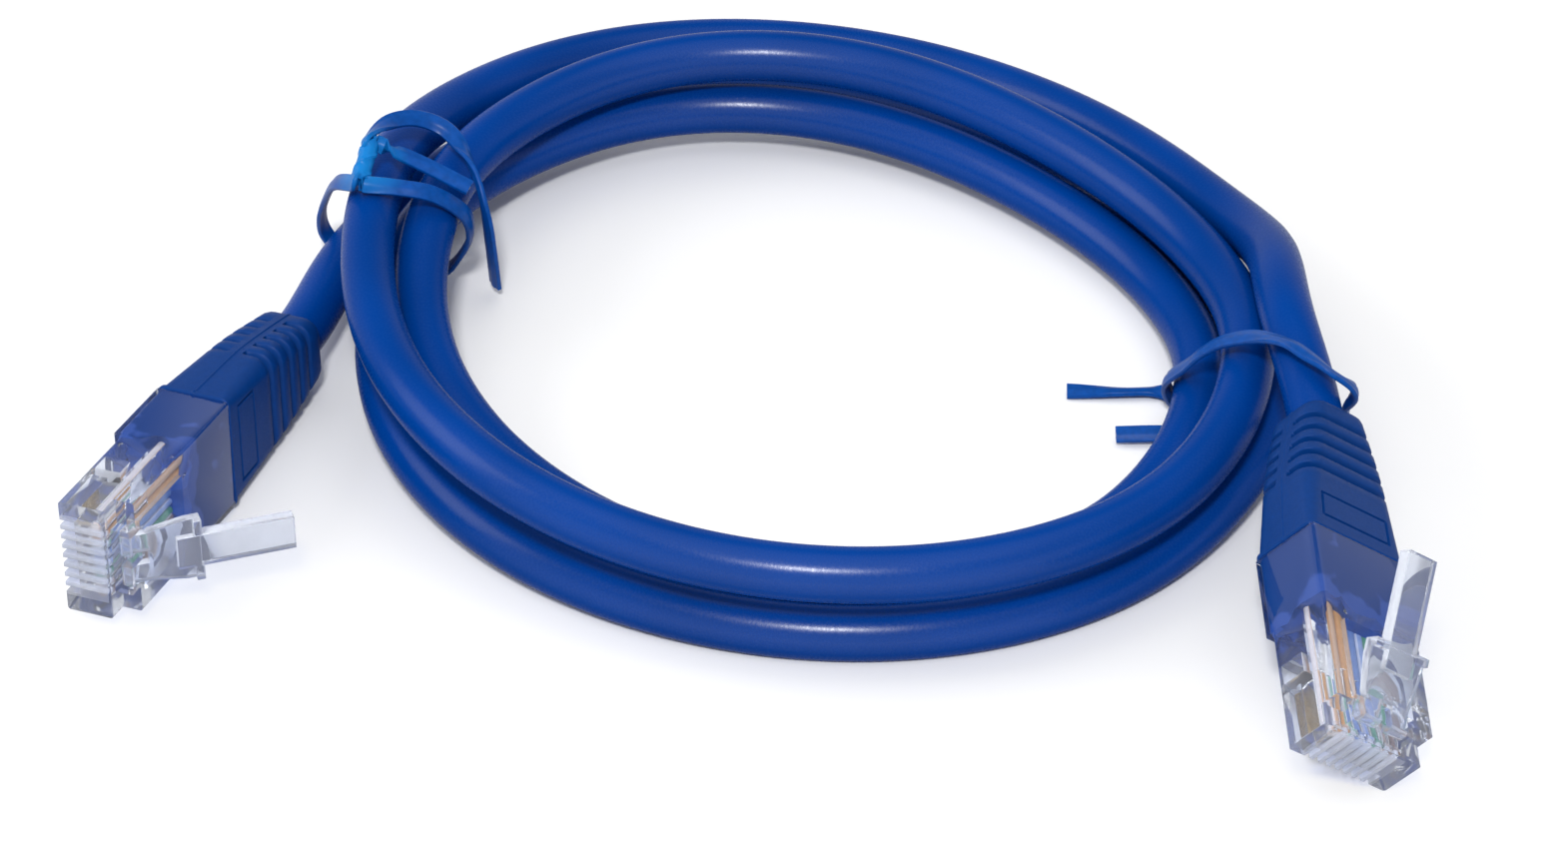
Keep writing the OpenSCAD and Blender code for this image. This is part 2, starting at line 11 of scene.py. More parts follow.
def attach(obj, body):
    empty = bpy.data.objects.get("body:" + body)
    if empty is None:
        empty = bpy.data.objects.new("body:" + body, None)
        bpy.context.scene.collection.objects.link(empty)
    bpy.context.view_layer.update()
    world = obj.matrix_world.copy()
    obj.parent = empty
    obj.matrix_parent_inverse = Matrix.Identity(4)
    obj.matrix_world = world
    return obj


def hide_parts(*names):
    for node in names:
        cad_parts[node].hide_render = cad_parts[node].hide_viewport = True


bl_info = {
    "name": "Ethernet Patch Cable",
    "version": (1, 0, 0),
    "blender": (4, 5, 0),
    "location": "View3D > Sidebar > Patch Cable",
    "description": "Models and finishes a wound patch cable around its packed frame",
    "category": "Add Mesh",
}

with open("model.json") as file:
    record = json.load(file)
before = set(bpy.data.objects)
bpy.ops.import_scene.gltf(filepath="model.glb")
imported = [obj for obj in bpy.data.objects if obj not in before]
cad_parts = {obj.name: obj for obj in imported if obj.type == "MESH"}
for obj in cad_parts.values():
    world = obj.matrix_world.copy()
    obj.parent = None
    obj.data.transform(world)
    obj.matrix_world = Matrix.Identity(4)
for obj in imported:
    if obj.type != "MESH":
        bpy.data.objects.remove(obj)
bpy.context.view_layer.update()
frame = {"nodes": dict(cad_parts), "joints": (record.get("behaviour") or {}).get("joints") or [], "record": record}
MM = 0.001
ENDS = ("a", "b")
CABLE_BODY = "patch_cable"

# ---- Sizes that several pieces share, in millimetres and degrees ----
ORIGIN = Vector((4, 15, 0))             # the coil is laid out from this point, and the camera aims at it
TIE_T = 0.7
TIE_AT = (160, -19)                     # where the left and the right tie cross the coil
CONTACT_PITCH = 1.02
WIRE_Z = 3.35                           # height of the wires' centres above the contact face
PLUG_Z = 3.3                            # height of the plug mount above the contact face
PLUG_LEN = 20.7
BOOT_LEN = 20.3
BOOT_MID_Z = 2.85
# How far each boot's rear end hangs over from its plug's line: across, along and up
BOOT_LEAN = {"a": Vector((0, 0, 0)), "b": Vector((4, -0.8, -2.5))}


# ---- Colours, places and shapes ----
def linear(code):
    """An sRGB hex colour as linear red, green, blue and alpha."""
    parts = [int(code[i:i + 2], 16) / 255 for i in (1, 3, 5)]
    return [c / 12.92 if c <= 0.04045 else ((c + 0.055) / 1.055) ** 2.4 for c in parts] + [1.0]


def grey(level):
    return (level, level, level, 1.0)


def shaded(colour, factor):
    """A colour made lighter or darker by a factor."""
    return [min(1.0, c * factor) for c in colour[:3]] + [1.0]


def plug_matrix(end):
    """The plug's own frame: x across towards contact 8, y from the nose to the cable, z to the latch face."""
    mount = next(m for m in frame["record"]["mounts"] if m["name"] == f"plug_{end}")
    joint = next(j for j in frame["joints"] if j["name"] == f"latch_{end}_press")
    x_axis = -Vector(joint["axis"]).normalized()
    y_axis = -Vector(mount["axis"]).normalized()
    z_axis = x_axis.cross(y_axis)
    place = Vector(mount["pos_m"]) - PLUG_Z * MM * z_axis
    turn = Matrix((x_axis, y_axis, z_axis)).transposed().to_4x4()
    return Matrix.Translation(place) @ turn


def plug_point(end, x, y, z):
    """A point given in the plug's own frame in millimetres, in the row frame in metres."""
    return plug_matrix(end) @ (Vector((x, y, z)) * MM)


def spline(values, x):
    """Catmull-Rom value between the entries of a list of numbers or vectors."""
    last = len(values) - 1
    i = max(0, min(int(math.floor(x)), last - 1))
    u = x - i
    a, b, c, d = values[max(i - 1, 0)], values[i], values[i + 1], values[min(i + 2, last)]
    straight = 2 * b + (c - a) * u
    return 0.5 * (straight + (2 * a - 5 * b + 4 * c - d) * u ** 2 + (3 * b - a - 3 * c + d) * u ** 3)


def swell(x, reach):
    """A smooth hump: 1 at x = 0, and 0 from reach outwards."""
    return math.cos(math.radians(90 * x / reach)) ** 2 if abs(x) < reach else 0.0


def deselect():
    if bpy.context.object and bpy.context.object.mode != "OBJECT":
        bpy.ops.object.mode_set(mode="OBJECT")
    bpy.ops.object.select_all(action="DESELECT")


def activate(piece):
    deselect()
    piece.select_set(True)
    bpy.context.view_layer.objects.active = piece


def set_material(piece, material):
    piece.data.materials.clear()
    piece.data.materials.append(material)


def replace_node(piece, material, body, node):
    set_material(piece, material)
    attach(piece, body)
    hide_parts(node)


def loft(name, rings):
    """A closed solid through rings that all have the same number of points."""
    count = len(rings[0])
    last = (len(rings) - 1) * count
    faces = [(a + j, a + (j + 1) % count, a + count + (j + 1) % count, a + count + j)
             for a in range(0, last, count) for j in range(count)]
    faces += [tuple(range(count)), tuple(range(last, last + count))]
    mesh = bpy.data.meshes.new(name)
    mesh.from_pydata([tuple(point) for ring in rings for point in ring], [], faces)
    mesh.update()
    piece = bpy.data.objects.new(name, mesh)
    bpy.context.scene.collection.objects.link(piece)
    activate(piece)
    bpy.ops.object.mode_set(mode="EDIT")
    bpy.ops.mesh.select_all(action="SELECT")
    bpy.ops.mesh.normals_make_consistent(inside=False)
    bpy.ops.object.mode_set(mode="OBJECT")
    bpy.ops.object.shade_smooth_by_angle(angle=math.radians(35))
    return piece


# ---- Nodes ----
RAMP = "ShaderNodeValToRGB"
MIX = "ShaderNodeMixRGB"
MIX_SHADER = "ShaderNodeMixShader"
MATH = "ShaderNodeMath"
BUMP = "ShaderNodeBump"
PRINCIPLED = "ShaderNodeBsdfPrincipled"


def input_socket(node, key):
    """An input by its name, with _ for each space, or by its number, as i0 or i1."""
    if key[0] == "i" and key[1:].isdigit():
        return node.inputs[int(key[1:])]
    return node.inputs[key.replace("_", " ")]


def add_node(tree, kind, settings=None, stops=(), **sockets):
    """Adds a node with its own settings and a ramp's two stops, and sets or links its inputs. A node given as
    an input's value stands for its first output."""
    made = tree.nodes.new(kind)
    for key, value in (settings or {}).items():
        setattr(made, key, value)
    for i, (position, colour) in enumerate(stops):
        made.color_ramp.elements[i].position = position
        made.color_ramp.elements[i].color = colour
    for key, value in sockets.items():
        if isinstance(value, bpy.types.Node):
            value = value.outputs[0]
        if isinstance(value, bpy.types.NodeSocket):
            tree.links.new(value, input_socket(made, key))
        else:
            input_socket(made, key).default_value = value
    return made


def start_material(name):
    """An empty material and its node tree."""
    material = bpy.data.materials.new(name)
    material.use_nodes = True
    material.node_tree.nodes.clear()
    return material, material.node_tree


def finished(material, surface):
    """The material, with the given shader on its surface."""
    add_node(material.node_tree, "ShaderNodeOutputMaterial", Surface=surface)
    return material


def cloudy(tree, grain, detail=2.0):
    """A cloudy pattern through the piece, whose grains are about so many millimetres wide."""
    place = add_node(tree, "ShaderNodeTexCoord")
    scale = 1 / (grain * MM)
    fitted = add_node(tree, "ShaderNodeMapping", Vector=place.outputs["Object"], Scale=(scale, scale, scale))
    return add_node(tree, "ShaderNodeTexNoise", Vector=fitted, Scale=1.0, Detail=detail, Roughness=0.5)


def plug_places(tree, end):
    """Places in the plug's own frame, in metres, taken apart into X, Y and Z."""
    matrix = plug_matrix(end)
    place = add_node(tree, "ShaderNodeTexCoord")
    local = add_node(tree, "ShaderNodeMapping", {"vector_type": "TEXTURE"}, Vector=place.outputs["Object"],
                     Location=matrix.to_translation(), Rotation=matrix.to_euler())
    return add_node(tree, "ShaderNodeSeparateXYZ", Vector=local)


# ---- Materials ----
FILLER_HAZE = "#2C509E"
FILLER_HAZE_Y = (12.8, 15.2)            # the haze fades out between these distances from the nose
EDGE_SHADE_BLUE = "#8E9ED2"                  # painted shade: the colour the clear plastic turns to where a face is seen edge on, for the dark it refracts there
CLEAR_MASS = "#E9ECF6"                  # its milkiness
CLEAR_SHADOW = "#F4F6FC"                # the light that has passed it
NOSE_MILK, NOSE_Y = 0.1, (7, 10)        # share of milkiness in a housing's nose, and where it fades out
COMB_MILK = 0.36                        # share of milkiness in the walls round the comb
COMB_HALF_W, COMB_DEEP, COMB_H = 4.2, 1.35, 4.4
STRIPE_UP = 0.32                        # the stripe starts this far above a wire's centre
STRAINED_TIE = "#0A7AC8"
STRAIN_NEAR, STRAIN_FAR = 1.5, 4.5      # the strain round the knot fades out between these distances


def jacket_material(colour):
    """Extruded soft PVC: a satin skin whose faint orange peel is drawn coarser than life, so that it shows.
    A soft jacket has little mirror sheen where it is seen edge on, so its gloss falls off there."""
    material, tree = start_material("jacket_pvc")
    blend = cloudy(tree, 50 / 3, 1.0)
    peel = cloudy(tree, 1 / 4)
    facing = add_node(tree, "ShaderNodeLayerWeight", Blend=0.5)
    tone = add_node(tree, RAMP, stops=((0.35, shaded(colour, 0.92)), (0.65, shaded(colour, 1.08))), Fac=blend)
    rough = add_node(tree, RAMP, stops=((0.3, grey(0.23)), (0.7, grey(0.31))), Fac=peel)
    gloss = add_node(tree, RAMP, stops=((0.08, grey(0.34)), (0.38, grey(0.04))), Fac=facing.outputs["Facing"])
    bump = add_node(tree, BUMP, Height=peel, Strength=0.12, Distance=0.05 * MM)
    skin = add_node(tree, PRINCIPLED, Base_Color=tone, Roughness=rough, IOR=1.53, Specular_IOR_Level=gloss,
                    Normal=bump)
    return finished(material, skin)


def boot_material(colour):
    """Injection moulded PVC from a spark-eroded tool: finer grained and duller than the jacket, with pale
    scuffs. The grain is drawn coarser than life, so that it shows."""
    material, tree = start_material("boot_pvc")
    grain = cloudy(tree, 1 / 9, 3.0)
    scuff = cloudy(tree, 5 / 8, 4.0)
    tone = add_node(tree, RAMP, stops=((0.3, shaded(colour, 0.95)), (0.7, shaded(colour, 1.06))), Fac=scuff)
    specks = add_node(tree, RAMP, stops=((0.72, grey(0.0)), (0.78, grey(1.0))), Fac=scuff)
    scuffed = add_node(tree, MIX, Fac=specks, Color1=tone, Color2=shaded(colour, 2.2))
    rough = add_node(tree, RAMP, stops=((0.3, grey(0.42)), (0.7, grey(0.58))), Fac=grain)
    bump = add_node(tree, BUMP, Height=grain, Strength=0.2, Distance=0.04 * MM)
    skin = add_node(tree, PRINCIPLED, Base_Color=scuffed, Roughness=rough, IOR=1.53, Specular_IOR_Level=0.14,
                    Normal=bump)
    return finished(material, skin)


def filler_material(colour, end):
    """The same PVC, seen through the plug that it was moulded into: wet looking, with a paler haze towards
    its front, where the skin has come off the clear wall in patches."""
    material, tree = start_material(f"filler_pvc_{end}")
    along = plug_places(tree, end).outputs["Y"]
    front = add_node(tree, "ShaderNodeMapRange", Value=along, From_Min=FILLER_HAZE_Y[1] * MM,
                     From_Max=FILLER_HAZE_Y[0] * MM, To_Min=0.0, To_Max=0.3)
    patchy = add_node(tree, MATH, {"operation": "ADD"}, i0=cloudy(tree, 10 / 3), i1=front)
    tone = add_node(tree, RAMP, stops=((0.62, colour), (0.68, linear(FILLER_HAZE))), Fac=patchy)
    skin = add_node(tree, PRINCIPLED, Base_Color=tone, Roughness=0.3, IOR=1.53, Specular_IOR_Level=0.1)
    return finished(material, skin)


def even_haze(tree, haze):
    """Milkiness that comes and goes a little in the mass."""
    return add_node(tree, RAMP, stops=((0.35, grey(0.8 * haze)), (0.65, grey(1.2 * haze))),
                    Fac=cloudy(tree, 5 / 2))


def housing_haze(tree, haze, end):
    """Milkiness of a housing: more in its nose, and most round the comb, where the tool is spark eroded."""
    place = plug_places(tree, end)
    across = add_node(tree, MATH, {"operation": "ABSOLUTE"}, i0=place.outputs["X"])
    comb = add_node(tree, MATH, {"operation": "LESS_THAN"}, i0=across, i1=COMB_HALF_W * MM)
    for value, limit in ((place.outputs["Y"], COMB_DEEP), (place.outputs["Z"], COMB_H)):
        inside = add_node(tree, MATH, {"operation": "LESS_THAN"}, i0=value, i1=limit * MM)
        comb = add_node(tree, MATH, {"operation": "MULTIPLY"}, i0=comb, i1=inside)
    nose = add_node(tree, RAMP, stops=((NOSE_Y[0] * MM, grey(NOSE_MILK)), (NOSE_Y[1] * MM, grey(haze))),
                    Fac=place.outputs["Y"])
    return add_node(tree, MIX, Fac=comb, Color1=nose, Color2=grey(COMB_MILK))


def polycarbonate_material(name, colour, haze, end=None):
    """Clear injection moulded polycarbonate: glossy and a little milky in its mass. Where a face is seen nearly
    edge on, its colour turns to a darker blue: painted shade for the dark that clear plastic refracts there.
    Light passes it without a dark shadow, so that the wires inside stay readable. With an end given, it is that
    end's housing."""
    material, tree = start_material(name)
    facing = add_node(tree, "ShaderNodeLayerWeight", Blend=0.4)
    # Painted shade: the colour turns to a darker blue where a face is seen edge on, in place of refracted dark
    # surroundings
    edge_shaded_tint = add_node(tree, RAMP, stops=((0.4, colour), (1.0, linear(EDGE_SHADE_BLUE))),
                    Fac=facing.outputs["Facing"])
    glass = add_node(tree, PRINCIPLED, Base_Color=edge_shaded_tint, Roughness=0.02, IOR=1.36, Transmission_Weight=1.0,
                     Specular_IOR_Level=0.4)
    milk = add_node(tree, "ShaderNodeBsdfTranslucent", Color=linear(CLEAR_MASS))
    matt = add_node(tree, "ShaderNodeBsdfDiffuse", Color=linear(CLEAR_MASS))
    mass = add_node(tree, MIX_SHADER, i0=0.5, i1=milk, i2=matt)
    share = housing_haze(tree, haze, end) if end else even_haze(tree, haze)
    body = add_node(tree, MIX_SHADER, i0=share, i1=glass, i2=mass)
    through_light = add_node(tree, "ShaderNodeBsdfTransparent", Color=linear(CLEAR_SHADOW))
    path = add_node(tree, "ShaderNodeLightPath")
    lighting = add_node(tree, MATH, {"operation": "MAXIMUM"}, i0=path.outputs["Is Shadow Ray"],
                        i1=path.outputs["Is Diffuse Ray"])
    return finished(material, add_node(tree, MIX_SHADER, i0=lighting, i1=body, i2=through_light))


def gold_material(colour):
    """Gold plating on stamped phosphor bronze: bright, with shear lines along the blade's edge. The lines are
    drawn coarser than life, so that they show."""
    material, tree = start_material("contact_gold")
    lines = cloudy(tree, 1 / 12)
    rough = add_node(tree, RAMP, stops=((0.3, grey(0.18)), (0.7, grey(0.34))), Fac=lines)
    bump = add_node(tree, BUMP, Height=lines, Strength=0.1, Distance=0.02 * MM)
    metal = add_node(tree, PRINCIPLED, Base_Color=colour, Metallic=1.0, Roughness=rough, Normal=bump)
    return finished(material, metal)


def wire_material(name, colour, stripe, end):
    """Polyethylene insulation: waxy; the white wires carry a stripe in their pair's colour."""
    material, tree = start_material(name)
    tone = add_node(tree, RAMP, stops=((0.35, shaded(colour, 0.92)), (0.65, shaded(colour, 1.04))),
                    Fac=cloudy(tree, 1 / 2))
    if stripe:
        above = add_node(tree, MATH, {"operation": "GREATER_THAN"}, i0=plug_places(tree, end).outputs["Z"],
                         i1=(WIRE_Z + STRIPE_UP) * MM)
        tone = add_node(tree, MIX, Fac=above, Color1=tone, Color2=stripe)
    skin = add_node(tree, PRINCIPLED, Base_Color=tone, Roughness=0.42, IOR=1.5)
    return finished(material, skin)


def tie_material(colour, knot):
    """Extruded PVC ribbon: brighter than the jacket, with faint draw marks, and paler where it is strained
    round the knot."""
    material, tree = start_material("tie_pvc")
    draw = cloudy(tree, 2 / 3, 3.0)
    drawn = add_node(tree, RAMP, stops=((0.35, shaded(colour, 0.9)), (0.65, shaded(colour, 1.12))), Fac=draw)
    place = add_node(tree, "ShaderNodeTexCoord")
    off = add_node(tree, "ShaderNodeVectorMath", {"operation": "DISTANCE"}, i0=place.outputs["Object"],
                   i1=knot)
    strain = add_node(tree, "ShaderNodeMapRange", Value=off.outputs["Value"], From_Min=STRAIN_FAR * MM,
                      From_Max=STRAIN_NEAR * MM)
    tone = add_node(tree, MIX, Fac=strain, Color1=drawn, Color2=linear(STRAINED_TIE))
    rough = add_node(tree, RAMP, stops=((0.3, grey(0.28)), (0.7, grey(0.4))), Fac=draw)
    bump = add_node(tree, BUMP, Height=draw, Strength=0.1, Distance=0.05 * MM)
    skin = add_node(tree, PRINCIPLED, Base_Color=tone, Roughness=rough, IOR=1.53, Specular_IOR_Level=0.15,
                    Normal=bump)
    return finished(material, skin)


def steel_material(colour):
    """Bare drawn steel wire: grey, with fine scratches from its die, shown coarser than life."""
    material, tree = start_material("tie_steel")
    rough = add_node(tree, RAMP, stops=((0.3, grey(0.3)), (0.7, grey(0.45))), Fac=cloudy(tree, 1 / 8))
    return finished(material, add_node(tree, PRINCIPLED, Base_Color=colour, Metallic=1.0, Roughness=rough))


# ---- Settings ----
def colour_prop(name, description, code):
    return bpy.props.FloatVectorProperty(
        name=name, description=description, subtype="COLOR", size=4, min=0, max=1, default=linear(code))


def length_prop(name, description, millimetres):
    return bpy.props.FloatProperty(
        name=name, description=description, unit="LENGTH", precision=5, default=millimetres * MM)


class PatchCableStage(bpy.types.PropertyGroup):
    elevation: bpy.props.FloatProperty(
        name="Elevation", description="Camera's angle above the floor", subtype="ANGLE",
        default=math.radians(36))
    distance: length_prop("Distance", "Camera's distance from the cable's middle", 502)
    focal: bpy.props.FloatProperty(
        name="Focal length", description="Camera's lens in millimetres", unit="CAMERA", default=119.24)


class PatchCableCord(bpy.types.PropertyGroup):
    diameter: length_prop("Diameter", "Outside diameter of the cable's jacket", 5.2)
    loop_pitch: length_prop("Loop pitch", "Distance between the centres of neighbouring loops", 5.75)
    long_radius: length_prop("Long radius", "Long radius of the wound coil", 41.9)
    short_radius: length_prop("Short radius", "Short radius of the wound coil", 35.2)
    jacket: colour_prop("Jacket", "Colour of the jacket", "#003C8E")


class PatchCableBoot(bpy.types.PropertyGroup):
    colour: colour_prop("Boot", "Colour of the moulded boots", "#00387E")


class PatchCablePlug(bpy.types.PropertyGroup):
    clear: colour_prop("Plug", "Tint of the clear plug", "#E9EEF7")
    gold: colour_prop("Contacts", "Colour of the contact plating", "#C2A265")


class PatchCableTie(bpy.types.PropertyGroup):
    width: length_prop("Width", "Width of the flat tie", 1.7)
    thickness: length_prop("Thickness", "Thickness of the flat tie", TIE_T)
    colour: colour_prop("Tie", "Colour of the twist ties", "#034A9C")


class PatchCableSettings(bpy.types.PropertyGroup):
    stage: bpy.props.PointerProperty(type=PatchCableStage)
    cord: bpy.props.PointerProperty(type=PatchCableCord)
    boot: bpy.props.PointerProperty(type=PatchCableBoot)
    plug: bpy.props.PointerProperty(type=PatchCablePlug)
    tie: bpy.props.PointerProperty(type=PatchCableTie)


def settings():
    return bpy.context.scene.patch_cable


# ---- Stage, in metres and watts ----
SENSOR_MM = 36
CLIP_START = 0.01
FLOOR_SIZE = 6
FLOOR_LIGHT = 0.72                      # level of the floor as a light on the cable
ROOM_LIGHT = 0.5                        # level of the room as a light on matt surfaces
SIDES, CEILING = 0.68, 0.12             # levels of its sides and its ceiling in glossy and clear ones
SIDES_TO, CEILING_FROM = 0.3, 0.6       # heights of the look between which the sides turn into the ceiling
LAMPS = (                               # name, place, size and power
    ("front_lamp", (-0.04, -0.53, 0.66), 0.1, 3.9),
    ("top_softbox", (0.0, 0.04, 0.8), 0.9, 1.2),
    ("left_softbox", (-0.56, 0.12, 0.34), 0.4, 1.3),
)


def floor_material():
    """White paper sweep. Where the camera sees it, also through the clear plugs, it is a little brighter, so
    that it reads as white round the shadow."""
    material, tree = start_material("paper_floor")
    path = add_node(tree, "ShaderNodeLightPath")
    seen = add_node(tree, MATH, {"operation": "MAXIMUM"}, i0=path.outputs["Is Camera Ray"],
                    i1=path.outputs["Is Transmission Ray"])
    white = add_node(tree, MIX, Fac=seen, Color1=grey(FLOOR_LIGHT), Color2=grey(1.0))
    return finished(material, add_node(tree, "ShaderNodeBsdfDiffuse", Color=white))


def studio_world():
    """A pale room: white where the camera sees it, with pale sides and a dim ceiling where a mirror or a lens
    does, and of one plain level as a light."""
    world = bpy.data.worlds.new("studio")
    world.use_nodes = True
    tree = world.node_tree
    tree.nodes.clear()
    path = add_node(tree, "ShaderNodeLightPath")
    shown = add_node(tree, MATH, {"operation": "MAXIMUM"}, i0=path.outputs["Is Glossy Ray"],
                     i1=path.outputs["Is Transmission Ray"])
    way = add_node(tree, "ShaderNodeTexCoord")
    height = add_node(tree, "ShaderNodeSeparateXYZ", Vector=way.outputs["Generated"])
    walls = add_node(tree, RAMP, stops=((SIDES_TO, grey(SIDES)), (CEILING_FROM, grey(CEILING))),
                     Fac=height.outputs["Z"])
    room = add_node(tree, MIX, Fac=shown, Color1=grey(ROOM_LIGHT), Color2=walls)
    level = add_node(tree, MIX, Fac=path.outputs["Is Camera Ray"], Color1=room, Color2=grey(1.0))
    shade = add_node(tree, "ShaderNodeBackground", Color=level, Strength=1.0)
    add_node(tree, "ShaderNodeOutputWorld", Surface=shade)
    return world


class PATCHCABLE_OT_stage(bpy.types.Operator):
    """Camera, floor and soft studio light"""
    bl_idname = "patch_cable.stage"
    bl_label = "Stage"

    def execute(self, context):
        stage = settings().stage
        aim = ORIGIN * MM
        back = Vector((0, -math.cos(stage.elevation), math.sin(stage.elevation)))
        bpy.ops.object.camera_add(location=aim + stage.distance * back,
                                  rotation=(math.pi / 2 - stage.elevation, 0, 0))
        camera = context.object
        camera.data.lens = stage.focal
        camera.data.sensor_width = SENSOR_MM
        camera.data.clip_start = CLIP_START
        context.scene.camera = camera
        bpy.ops.mesh.primitive_plane_add(size=FLOOR_SIZE, location=(0, 0, 0))
        floor = context.object
        floor.name = "floor"
        set_material(floor, floor_material())
        for name, place, size, power in LAMPS:
            bpy.ops.object.light_add(type="AREA", location=place)
            lamp = context.object
            lamp.name = name
            lamp.data.size = size
            lamp.data.energy = power
            lamp.rotation_euler = (Vector(place) - aim).to_track_quat("Z", "Y").to_euler()
        context.scene.world = studio_world()
        context.scene.view_settings.view_transform = "Standard"
        return {"FINISHED"}


# ---- Cable: one tube along its wound route, in millimetres, degrees and turns ----
COIL_CENTRE = (1.7, 10.4)
COIL_TILT = -66                         # direction of the oval's long axis
COIL_WAVE, COIL_WAVE_AT = -1.0, 117     # the oval's three-sided swell
LAY_SHARE = 0.4                         # the lowest centres lie this share of the diameter above the floor
# Each quarter turn's lane from the rim outwards and its layer from the floor up, in loop pitches
LANES = (1.95, 0.45, 1.25, 1.15, 0.95, -0.6, 0.3, 0, 0.3, -0.5, 0.9, 1.45, 1.15, 1.7, 1.6)
LAYERS = (0, 0, 0, 0, 0.4, 0.45, 0.15, 0.05, 1.2, 1.55, 1.05, 1.4, 1.75, 0.4, 1.1)
TURN_FROM, TURN_TO = 0.06, 3.42
TURN_STEPS = 216
SWING, SWING_AT, SWING_REACH = 0.35, 0.5, 0.12  # half a turn in, the loop swings out a little
TIE_LIFT = TIE_T + 0.95                 # the loops rise by this where a tie passes under them
TIE_REACH = 30                          # over so many degrees either way
# The free length to plug b, from the right tie's place on the rim
LEAD_B = ((7.54, 21.66, 8.9), (8.94, 16.66, 10.7), (9.24, 11.06, 12.8), (8.74, 4.36, 14.2),
          (8.94, -1.04, 14.6), (9.34, -5.04, 14.5))
IN_BOOT = 3.0                           # how far the cable runs on into each boot
LEAD_STEPS = 8                          # points for each span of a free length
ROUTE_STEP = 1.2                        # distance between the finished route's points
EASE_REACH, EASE_ROUNDS = 4, 3          # kinks are averaged over so many points either way, so many times


def fold(angle):
    """The same direction, as an angle from -180 to 180 degrees."""
    return angle - 360 * math.floor((angle + 180) / 360)


def rim_radius(angle, cable):
    """The coil's inner rim: an oval with a three-sided swell."""
    along = math.radians(angle - COIL_TILT)
    long_share = math.cos(along) / (cable.long_radius / MM)
    short_share = math.sin(along) / (cable.short_radius / MM)
    wave = COIL_WAVE * math.cos(math.radians(3 * angle - COIL_WAVE_AT))
    return 1 / math.hypot(long_share, short_share) + wave


def round_coil(angle, radius, height=0.0):
    """The place at an angle and a radius round the coil's centre."""
    at = math.radians(angle)
    return Vector((COIL_CENTRE[0] + radius * math.cos(at), COIL_CENTRE[1] + radius * math.sin(at), height))


def rim(angle, cable):
    return round_coil(angle, rim_radius(angle, cable))


def coil_point(turn, cable):
    """Centre of the cable after a number of turns from the left end, clockwise from above."""
    angle = 180 - 360 * turn
    pitch = cable.loop_pitch / MM
    lane = spline(LANES, 4 * turn) + SWING * swell(turn - SWING_AT, SWING_REACH)
    lift = sum(swell(fold(angle - at), TIE_REACH) for at in TIE_AT)
    height = LAY_SHARE * cable.diameter / MM + pitch * max(0.0, spline(LAYERS, 4 * turn)) + TIE_LIFT * lift
    return round_coil(angle, rim_radius(angle, cable) + pitch * lane, height)


def through(points):
    """Points on a smooth curve through the given ones."""
    return [spline(points, k / LEAD_STEPS) for k in range((len(points) - 1) * LEAD_STEPS + 1)]


def evenly(points, step):
    """The same line with points at even steps."""
    marks = [0.0]
    for a, b in zip(points, points[1:]):
        marks.append(marks[-1] + (b - a).length)
    count = round(marks[-1] / step)
    line, i = [], 0
    for k in range(count + 1):
        want = marks[-1] * k / count
        while i < len(points) - 2 and marks[i + 1] < want:
            i += 1
        share = (want - marks[i]) / max(marks[i + 1] - marks[i], 1e-9)
        line.append(points[i].lerp(points[i + 1], share))
    return line


def eased(points, reach, rounds):
    """The line with its small kinks averaged out; both ends stay."""
    for _ in range(rounds):
        moved = list(points)
        for i in range(1, len(points) - 1):
            r = min(reach, i, len(points) - 1 - i)
            moved[i] = sum(points[i - r:i + r + 1], Vector()) / (2 * r + 1)
        points = moved
    return points


def boot_rear(end):
    """Where the cable leaves the boot."""
    lean = BOOT_LEAN[end]
    return plug_point(end, lean.x, PLUG_LEN + BOOT_LEN + lean.y, BOOT_MID_Z + lean.z)


def cable_end(end, diameter):
    """Three places on the route: inside the boot, at its rear, and a diameter out from it."""
    tail = boot_rear(end) / MM - ORIGIN
    way = plug_matrix(end).to_3x3() @ Vector((0, 1, 0))
    inwards = (plug_point(end, 0, PLUG_LEN, BOOT_MID_Z) / MM - ORIGIN - tail).normalized()
    return (tail + IN_BOOT * inwards, tail, tail + diameter * way)


def cable_route(cable):
    """The cable's centreline from boot a to boot b, in metres."""
    size = cable.diameter / MM
    turns = [TURN_FROM + (TURN_TO - TURN_FROM) * k / TURN_STEPS for k in range(TURN_STEPS + 1)]
    coil = [coil_point(turn, cable) for turn in turns]
    tiny = 0.001
    into = (coil_point(TURN_FROM + tiny, cable) - coil[0]).normalized()
    out = (coil[-1] - coil_point(TURN_TO - tiny, cable)).normalized()
    start = coil[0] - size * into
    close = coil[-1] + size * out
    lead_a = through([*cable_end("a", size), start - size * into, start])
    lead_b = through([close, close + size * out, *[rim(TIE_AT[1], cable) + Vector(p) for p in LEAD_B],
                      *reversed(cable_end("b", size))])
    line = evenly(lead_a + coil + lead_b, ROUTE_STEP)
    return [(p + ORIGIN) * MM for p in eased(line, EASE_REACH, EASE_ROUNDS)]


